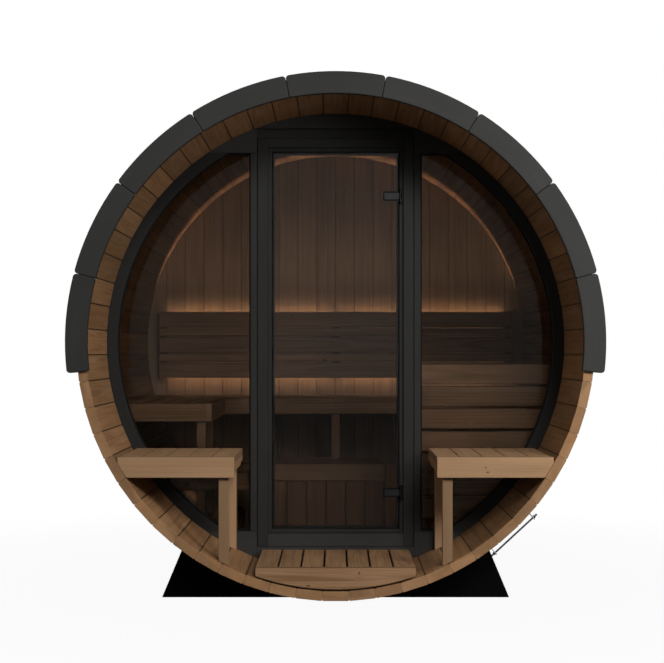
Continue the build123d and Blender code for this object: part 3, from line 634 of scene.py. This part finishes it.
cap_length = (back_end - front_end) / ridge_cap_count
cap_start = front_end + np.arange(ridge_cap_count) * cap_length
cap_ends = np.stack([cap_start, np.minimum(cap_start + cap_lap * cap_length, back_end)], axis=1)
cap_angles = np.tile([pi / 2 - ridge_half_angle, pi / 2 + ridge_half_angle], (ridge_cap_count, 1))
points, faces = curved_slabs(
    cap_angles, cap_ends, sheathing_radius + 2 * shingle_thickness, 0.0, shingle_lift, cap_steps)
ridge_caps = joined_mesh("ridge_caps", points, faces)
for covering, steps in ((roof_shingles, shingle_steps), (ridge_caps, cap_steps)):
    outward_normals(covering)
    slab_points = 6 * (steps + 1)
    board_grain(covering.data, np.arange(len(covering.data.vertices)) // slab_points, turns=True)
    covering.data.materials.append(shingle_grit)
    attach(covering, "root")

# Front wall
# The wall behind the porch is painted softwood: header and sill pieces sawn to the shell, curved
# rims of five pieces along it and a post each side of the door, rebated behind for the panes.
# The rims' coat is darker than the frames': partly a darker paint, partly painted shade where the shell
# stands round them.
shaded_grey = (0.03, 0.0295, 0.0285, 1)
wall_edge = 0.0009
rim_paint_and_shade = grained_finish(
    "Rim Paint And Shade", paint_coat,
    {"Coat": shaded_grey, "Worn": fascia_grey, "Wear": 0.3, "Smooth": 0.52, "Seam": 0.0012},
    paint_bump, paint_depth, gloss=0.06)
for name in ("wall_header", "wall_sill", "window_rim_left", "window_rim_right",
             "window_post_left", "window_post_right"):
    round_piece = name.startswith("window_rim")
    wall_piece = whole_faces(name, wall_edge, turns=round_piece)
    wall_piece.data.materials.append(rim_paint_and_shade if round_piece else grey_paint)
    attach(wall_piece, "root")
    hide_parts(name)

# Window panes
# Each window is one pane of tinted tempered glass, let into the rebate from behind. A black rubber
# gasket runs round its front face, along the curved rim and the post.
bronze_tint = (0.42, 0.39, 0.36, 1)
rubber_black = (0.004, 0.004, 0.004, 1)
rubber_bloom = (0.01, 0.0095, 0.009, 1)
pane_edge = 0.0008
window_index = 1.16
shadow_power = 0.8
gasket_width = 0.007
gasket_depth = 0.004
gasket_lap = 0.0117
gasket_points = 60
section_points = 7
section_foot = 0.0005
sharpest_turn = 0.3


def choose_shader(tree, share, plain, special):
    """The surface is the plain shader, mixed with the special one by that share."""
    choice = tree.nodes.new("ShaderNodeMixShader")
    tree.links.new(share, choice.inputs["Fac"])
    tree.links.new(plain.outputs[0], choice.inputs[1])
    tree.links.new(special.outputs[0], choice.inputs[2])
    tree.links.new(choice.outputs["Shader"], tree.nodes["Material Output"].inputs["Surface"])


def tinted_glass(name, tint, index):
    """Clear tinted glass. Its index is under that of plain glass, which keeps its reflections weak.
    Lamps shine through it, because for shadow rays it is a plain filter a little paler than the
    tint, and it stays glass to everything else."""
    material, tree, surface = new_finish(name)
    surface.inputs["Base Color"].default_value = tint
    surface.inputs["Transmission Weight"].default_value = 1.0
    surface.inputs["Roughness"].default_value = 0.0
    surface.inputs["IOR"].default_value = index
    see_through = tree.nodes.new("ShaderNodeBsdfTransparent")
    see_through.inputs["Color"].default_value = tuple(c ** shadow_power for c in tint[:3]) + (1,)
    rays = tree.nodes.new("ShaderNodeLightPath")
    choose_shader(tree, rays.outputs["Is Shadow Ray"], surface, see_through)
    return material


def strip_along(path, width, depth):
    """A strip of rounded section round a closed flat path in an upright plane. At each point the
    section is carried by the path's own inward direction, the mean of the normals of its two
    neighbouring runs, and by the direction out of the plane."""
    run = np.roll(path, -1, axis=0) - path
    run /= np.linalg.norm(run, axis=1, keepdims=True)
    mean = run + np.roll(run, 1, axis=0)
    mean /= np.linalg.norm(mean, axis=1, keepdims=True)
    inward = np.stack([-mean[:, 2], np.zeros(len(path)), mean[:, 0]], axis=1)
    stretch = 1 / np.maximum((np.roll(run, 1, axis=0) * mean).sum(1), sharpest_turn)
    inward *= stretch[:, None]
    turn = np.linspace(0, pi, section_points)
    section = np.stack([width / 2 - width / 2 * np.cos(turn), depth * np.sin(turn) ** 0.5], axis=1)
    section = np.concatenate([section, [[width, -section_foot], [0, -section_foot]]])
    points = (path[:, None] + section[None, :, :1] * inward[:, None]
              - section[None, :, 1:] * np.array([0, 1, 0]))
    along, about = np.meshgrid(np.arange(len(path)), np.arange(len(section)), indexing="ij")
    after = (along + 1) % len(path)
    beside = (about + 1) % len(section)
    wide = len(section)
    faces = np.stack([along * wide + about, after * wide + about,
                      after * wide + beside, along * wide + beside], axis=-1)
    return points, faces


def make_rubber():
    """Black rubber: nearly even, with a faint dusty bloom and a fine pebbled skin."""
    material, tree, surface = new_finish("Gasket Rubber")
    place = tree.nodes.new("ShaderNodeTexCoord").outputs["Object"]
    bloom = noise_node(tree, place, (30.0, 30.0, 30.0), detail=3.0)
    skin = noise_node(tree, place, (900.0, 900.0, 900.0), detail=1.0)
    tree.links.new(blend_node(tree, step_node(tree, bloom, 0.35, 0.8), rubber_black, rubber_bloom),
                   surface.inputs["Base Color"])
    tree.links.new(step_node(tree, bloom, 0.3, 0.8, 0.5, 0.75), surface.inputs["Roughness"])
    give_relief(tree, skin, 0.2, 0.0003)
    surface.inputs["Specular IOR Level"].default_value = 0.06
    return material


gasket_rubber = make_rubber()
window_glass = tinted_glass("Window Glass", bronze_tint, window_index)
for side, sign in (("left", -1), ("right", 1)):
    name = f"window_glass_{side}"
    pane = whole_faces(name, pane_edge, turns=False)
    pane.data.materials.append(window_glass)
    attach(pane, "root")
    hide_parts(name)

    pane_low, pane_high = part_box(name)
    rim_radius = max(abs(pane_low.x), abs(pane_high.x)) - gasket_lap
    post_x = min(abs(pane_low.x), abs(pane_high.x)) + gasket_lap
    top = pane_high.z - axis_height - gasket_lap
    bottom = pane_low.z - axis_height + gasket_lap
    sweep = np.linspace(np.arcsin(bottom / rim_radius), np.arcsin(top / rim_radius), gasket_points)
    outline = np.stack([rim_radius * np.cos(sweep), np.full(gasket_points, pane_low.y),
                        axis_height + rim_radius * np.sin(sweep)], axis=1)
    corners = np.array([[post_x, pane_low.y, axis_height + top],
                        [post_x, pane_low.y, axis_height + bottom]])
    points, faces = strip_along(np.concatenate([outline, corners]), gasket_width, gasket_depth)
    points[..., 0] *= sign
    gasket = joined_mesh(f"window_gasket_{side}", points, faces)
    outward_normals(gasket)
    gasket.data.materials.append(gasket_rubber)
    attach(gasket, "root")

# Door frame
# The frame is painted planed timber, with a lining set back inside it and a stop that the glass
# closes against. A black seal is pressed into the front of the stop.
frame_edge = 0.002
for name in ("door_frame", "door_lining", "door_stop"):
    frame_piece = whole_faces(name, frame_edge, turns=False)
    frame_piece.data.materials.append(grey_paint)
    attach(frame_piece, "root")
    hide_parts(name)

seal_width = 0.005
seal_height = 0.0042
seal_inset = 0.0005
stop_low, stop_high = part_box("door_stop")
left, right = stop_low.x + seal_inset, stop_high.x - seal_inset
low, high = stop_low.z + seal_inset, stop_high.z - seal_inset
corners = np.array([[right, stop_low.y, low], [right, stop_low.y, high],
                    [left, stop_low.y, high], [left, stop_low.y, low]])
points, faces = strip_along(corners, seal_width, seal_height)
door_seal = joined_mesh("door_seal", points, faces)
outward_normals(door_seal)
door_seal.data.materials.append(gasket_rubber)
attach(door_seal, "root")

# Door leaf
# The leaf is one frameless pane of smoked tempered glass with ground edges. Two clamp hinges of
# dark metal on its right edge turn on pins that stand in knuckles on the frame.
smoke_tint = (0.39, 0.37, 0.35, 1)
hinge_dark = (0.024, 0.024, 0.025, 1)
leaf_index = 1.22
leaf_edge = 0.0012
clamp_border = 0.0085
door_glass = tinted_glass("Door Glass", smoke_tint, leaf_index)
leaf = whole_faces("door_glass", leaf_edge, turns=False)
leaf.data.materials.append(door_glass)
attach(leaf, "door")
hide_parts("door_glass")
hinge_steel = steel_finish(
    "Hinge Steel", hinge_dark, rough=0.38, streak=0.05, border=clamp_border, metallic=0.4, gloss=0.1)
for name, body in (("door_hinge_leaves", "door"), ("hinge_frame_plates", "root")):
    hinge = round_faces(name)
    hinge.data.materials.append(hinge_steel)
    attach(hinge, body)
    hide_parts(name)

# Porch deck
# Seven planed boards run from the apron to the front wall on joists sawn to the shell. The apron is
# one curved board across their ends.
deck_light = (0.345, 0.205, 0.108, 1)
deck_dark = (0.20, 0.105, 0.048, 1)
board_edge = 0.0025
deck_knots = ((-0.116, 0.119, 0.008, 0.004),)


def marked_knots(material, knots):
    """Dark oval knots on front faces, each at an x and a height and with half its width and half its
    height, where the squared offsets over the squared half sizes sum to under one."""
    tree = material.node_tree
    surface = tree.nodes["Principled BSDF"]
    place = tree.nodes.new("ShaderNodeTexCoord").outputs["Object"]
    normal = tree.nodes.new("ShaderNodeNewGeometry").outputs["True Normal"]
    facing = sum_node(tree, "DOT_PRODUCT", normal, (0, -1, 0), kind="ShaderNodeVectorMath")
    front = step_node(tree, facing, 0.8, 0.95)
    colour = surface.inputs["Base Color"].links[0].from_socket
    for x, height, half_width, half_height in knots:
        offset = sum_node(tree, "SUBTRACT", place, (x, 0, height), kind="ShaderNodeVectorMath")
        scaled = sum_node(
            tree, "MULTIPLY", offset, (1 / half_width, 0, 1 / half_height), kind="ShaderNodeVectorMath")
        away = sum_node(tree, "LENGTH", scaled, kind="ShaderNodeVectorMath")
        share = sum_node(tree, "MULTIPLY", front, step_node(tree, away, 1.6, 0.4, 0.0, 0.85))
        colour = blend_node(tree, share, colour, knot_brown)
    tree.links.new(colour, surface.inputs["Base Color"])


deck_wood = grained_finish(
    "Deck Wood", softwood,
    {"Light": deck_light, "Dark": deck_dark, "Ring Width": 0.007, "Knots": 0.4,
     "Difference": 0.25}, bump=0.35)
marked_knots(deck_wood, deck_knots)
for name in ("deck_boards", "deck_apron", "floor_joists"):
    deck_piece = whole_faces(name, board_edge, turns=False)
    deck_piece.data.materials.append(deck_wood)
    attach(deck_piece, "root")
    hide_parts(name)

# Porch benches
# Each bench has seat boards from front to back, a front apron and a frame of square timber with two
# legs that stand on the shell. The boards are clear softwood with a small knot here and there.
bench_light = (0.39, 0.235, 0.126, 1)
bench_dark = (0.325, 0.19, 0.097, 1)
bench_knots = ((0.636, 0.620, 0.0045, 0.003), (0.6445, 0.600, 0.007, 0.003))
bench_wood = grained_finish(
    "Bench Wood", softwood,
    {"Light": bench_light, "Dark": bench_dark, "Ring Width": 0.009, "Rings": 0.35, "Knots": 0.22,
     "Difference": 0.12})
marked_knots(bench_wood, bench_knots)
for name in ("porch_seat_left", "porch_seat_right", "porch_bench_frame_left", "porch_bench_frame_right"):
    bench_piece = whole_faces(name, board_edge, turns=False)
    bench_piece.data.materials.append(bench_wood)
    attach(bench_piece, "root")
    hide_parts(name)

# Cabin floor and back wall
# The floor boards run on from the porch behind the front wall. Twenty upright planks, sawn to the
# round and held edge to edge by loose tongues, close the back of the barrel.
cabin_light = (0.25, 0.168, 0.11, 1)
cabin_dark = (0.15, 0.094, 0.056, 1)
tongue_width = 0.012
tongue_depth = 0.006
plank_edge = 0.0015
# Its darkened seams are painted shade and dirt in the gaps between boards.
cabin_wood = grained_finish(
    "Cabin Wood", softwood,
    {"Light": cabin_light, "Dark": cabin_dark, "Ring Width": 0.008, "Knots": 0.25, "Difference": 0.35,
     "Seam": 0.0032, "Seam Shade": 0.4})
plank_light = (0.27, 0.20, 0.145, 1)
plank_dark = (0.17, 0.118, 0.08, 1)
# The planks' darkened seams are painted shade and dirt in the gaps between them.
wall_wood = grained_finish(
    "Wall Planks", softwood,
    {"Light": plank_light, "Dark": plank_dark, "Rings": 0.3, "Streaks": 0.4, "Knots": 0.0,
     "Difference": 0.15, "Seam": 0.002, "Seam Shade": 0.5}, bump=0.25)
for name, wood in (("cabin_floor", cabin_wood), ("back_wall", wall_wood)):
    cabin_piece = whole_faces(name, plank_edge, turns=False)
    cabin_piece.data.materials.append(wood)
    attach(cabin_piece, "root")
    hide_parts(name)

wall_low, wall_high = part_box("back_wall")
points, triangles, plank = separate_solids(nodes["back_wall"].data)
plank_right = np.full(plank.max() + 1, -np.inf)
np.maximum.at(plank_right, plank, points[:, 0])
joint_x = np.sort(plank_right)[:-1]
middle = np.array([0, (wall_low.y + wall_high.y) / 2, (wall_low.z + wall_high.z) / 2])
middle = middle + joint_x[:, None] * np.array([1, 0, 0])
wall_radius = (wall_high.z - wall_low.z) / 2
tongue_half = np.stack([np.full(len(joint_x), tongue_width / 2), np.full(len(joint_x), tongue_depth / 2),
                        np.sqrt(wall_radius ** 2 - joint_x ** 2) - tongue_width], axis=1)
corner = np.array([[-1, -1, -1], [1, -1, -1], [1, 1, -1], [-1, 1, -1],
                   [-1, -1, 1], [1, -1, 1], [1, 1, 1], [-1, 1, 1]])
box_faces = np.array([[0, 3, 2, 1], [4, 5, 6, 7], [0, 1, 5, 4], [1, 2, 6, 5], [2, 3, 7, 6], [3, 0, 4, 7]])
points = middle[:, None] + tongue_half[:, None] * corner
wall_tongues = joined_mesh("wall_tongues", points, box_faces + 8 * np.arange(len(joint_x))[:, None, None])
board_grain(wall_tongues.data, np.arange(8 * len(joint_x)) // 8, turns=False)
wall_tongues.data.materials.append(cabin_wood)
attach(wall_tongues, "root")

# Cabin benches
# Two tiers of boards on posts and rails, each with a wing along the left wall and a deep front
# board. A skirt of upright boards closes the lower tier down to the floor.
# The skirt's wood is darker and redder than the cabin wood: painted shade and painted warm light for the
# corner under the lower tier.
skirt_light = (0.19, 0.112, 0.062, 1)
skirt_dark = (0.115, 0.063, 0.034, 1)
skirt_shade_wood = grained_finish(
    "Skirt Shade Wood", softwood,
    {"Light": skirt_light, "Dark": skirt_dark, "Ring Width": 0.008, "Knots": 0.1, "Difference": 0.35})
for name in ("upper_bench_seat", "upper_bench_front", "upper_bench_rails", "bench_posts",
             "lower_bench_seat", "lower_bench_front", "lower_bench_legs", "lower_bench_skirt"):
    tier_piece = whole_faces(name, board_edge, turns=False)
    tier_piece.data.materials.append(skirt_shade_wood if name == "lower_bench_skirt" else cabin_wood)
    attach(tier_piece, "root")
    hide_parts(name)

# Backrest and light strips
# Five boards stand off the back wall on battens. Warm light strips behind the top and bottom boards
# shine on the wall above and below them.
glow_colour = (1.0, 0.63, 0.36, 1)
glow_pale = (1.0, 0.69, 0.42, 1)
diffuser_white = (0.9, 0.8, 0.7, 1)
glow_strength = 15.0
rest_edge = 0.003
strip_edge = 0.001
for name in ("backrest", "backrest_battens"):
    rest_piece = whole_faces(name, rest_edge, turns=False)
    rest_piece.data.materials.append(cabin_wood)
    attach(rest_piece, "root")
    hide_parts(name)

warm_light, tree, diffuser = new_finish("Warm Light")
diffuser.inputs["Base Color"].default_value = diffuser_white
diffuser.inputs["Emission Strength"].default_value = glow_strength
spots = noise_node(tree, attribute_node(tree, "grain").outputs["Vector"], (60.0, 5.0, 5.0))
glow = blend_node(tree, step_node(tree, spots, 0.2, 0.8), glow_colour, glow_pale)
tree.links.new(glow, diffuser.inputs["Emission Color"])
strips = whole_faces("light_strips", strip_edge, turns=False)
strips.data.materials.append(warm_light)
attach(strips, "root")
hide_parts("light_strips")

# Slatted screen
# Seven boards, sawn to the shell at their right ends, are fixed to a batten behind the right
# window and screen the stove's corner.
for name in ("side_screen", "screen_batten"):
    screen_piece = whole_faces(name, board_edge, turns=False)
    screen_piece.data.materials.append(cabin_wood)
    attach(screen_piece, "root")
    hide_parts(name)

# Light inside the cabin
# A warm lamp shines up along the back wall to the staves above it, and others light the wall, the
# shell under the left benches and the corner behind the screen. Each has a place, a tilt in degrees,
# a width and depth, a spread in degrees and a power in watts.
cabin_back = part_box("back_wall")[0].y
warm_lamp = (1.0, 0.76, 0.54)
cabin_lamps = (
    ("lamp_ceiling", (0.0, cabin_back - 0.025, axis_height + 0.2), 184, (2.0, 0.02), 28, 3.2),
    ("lamp_cabin", (0.0, cabin_back - 0.75, axis_height + 0.7), 60, (1.2, 0.4), 110, 0.58),
    ("lamp_under_left_wing", (-0.66, 0.15, axis_height - 0.69), 0, (0.1, 0.1), 150, 0.12),
    ("lamp_behind_screen", (0.62, -0.1, axis_height - 0.5), 0, (0.35, 0.25), 160, 0.5),
)


def add_lamp(name, place, size, power):
    """An area lamp of that width and height in metres and that power in watts."""
    data = bpy.data.lights.new(name, "AREA")
    data.shape = "RECTANGLE"
    data.size, data.size_y = size
    data.energy = power
    lamp = bpy.data.objects.new(name, data)
    bpy.context.scene.collection.objects.link(lamp)
    lamp.location = place
    return lamp


for name, place, tilt, size, spread, power in cabin_lamps:
    lamp = add_lamp(name, place, size, power)
    lamp.rotation_euler = (radians(tilt), 0, 0)
    lamp.data.spread = radians(spread)
    lamp.data.color = warm_lamp

# Studio
# A pale floor, a broad key light and a nearer, smaller one from the front right, a weak one from the
# left side, two behind, and a white surround that the camera, glossy surfaces and glass see. Each
# lamp has a place, the depth that it is aimed at, a size and a power in watts.
studio_lamps = (
    ("key_light", (2.7, -11.4, 6.4), front_end, 2.8, 640.0),
    ("near_light", (2.5, -3.5, 2.1), front_end, 1.2, 64.0),
    ("side_light", (-8.0, -4.5, 3.0), front_end, 2.0, 45.0),
    ("rear_light_right", (6.5, 5.5, 4.5), back_end, 3.0, 400.0),
    ("rear_light_left", (-6.5, 5.5, 4.5), back_end, 3.0, 400.0),
)
for name, place, aimed_depth, size, power in studio_lamps:
    lamp = add_lamp(name, place, (size, size), power)
    aim = Vector((0, aimed_depth, axis_height)) - Vector(place)
    lamp.rotation_euler = aim.to_track_quat("-Z", "Y").to_euler()

surround_strength = 0.105
world = bpy.data.worlds.new("Surround")
bpy.context.scene.world = world
world.use_nodes = True
tree = world.node_tree
sky = tree.nodes["Background"]
sky.inputs["Color"].default_value = (1, 1, 1, 1)
rays = tree.nodes.new("ShaderNodeLightPath")
seen = sum_node(tree, "MAXIMUM", rays.outputs["Is Camera Ray"], rays.outputs["Is Glossy Ray"])
seen = sum_node(tree, "MAXIMUM", seen, rays.outputs["Is Transmission Ray"])
tree.links.new(step_node(tree, seen, 0.0, 1.0, surround_strength, 1.0), sky.inputs["Strength"])

floor_half = 30.0
floor_grey = (0.09, 0.09, 0.09, 1)
floor_shade = 0.05
floor_mirrored = 0.1
shade_reach = 3.5
floor_mesh = bpy.data.meshes.new("studio_floor")
floor_mesh.from_pydata(
    [(-floor_half, -floor_half, 0), (floor_half, -floor_half, 0), (floor_half, floor_half, 0),
     (-floor_half, floor_half, 0)], [], [(0, 1, 2, 3)])
studio_floor = bpy.data.objects.new("studio_floor", floor_mesh)
bpy.context.scene.collection.objects.link(studio_floor)
pale, tree, surface = new_finish("Pale Floor")
surface.inputs["Base Color"].default_value = floor_grey
surface.inputs["Roughness"].default_value = 0.9
surface.inputs["Specular IOR Level"].default_value = 0.0
white = tree.nodes.new("ShaderNodeEmission")
rays = tree.nodes.new("ShaderNodeLightPath")
where = tree.nodes.new("ShaderNodeTexCoord").outputs["Object"]
away = sum_node(tree, "LENGTH", where, kind="ShaderNodeVectorMath")
share = step_node(tree, away, shade_reach / 3, shade_reach, 1 - floor_shade, 1.0)
mirrored = sum_node(tree, "MULTIPLY", rays.outputs["Is Glossy Ray"], floor_mirrored)
seen = sum_node(tree, "MAXIMUM", rays.outputs["Is Camera Ray"], mirrored)
seen = sum_node(tree, "MAXIMUM", seen, rays.outputs["Is Transmission Ray"])
choose_shader(tree, sum_node(tree, "MULTIPLY", seen, share), surface, white)
floor_mesh.materials.append(pale)

# Camera
# It stands level, 5.9 m in front of the porch and a little below the barrel's middle, and is shifted
# so that the barrel sits in the frame as in the photograph.
porch_distance = 5.9
eye_height = 1.1094
lens_length = 75.55
frame_shift = (-0.0054, 0.0309)
sight = bpy.data.cameras.new("camera")
sight.sensor_width = 36.0
sight.lens = lens_length
sight.shift_x, sight.shift_y = frame_shift
sight.clip_end = 200
camera = bpy.data.objects.new("camera", sight)
bpy.context.scene.collection.objects.link(camera)
camera.location = (0, front_end - porch_distance, eye_height)
camera.rotation_euler = (radians(90), 0, 0)
bpy.context.scene.camera = camera
bpy.context.scene.view_settings.view_transform = "Standard"
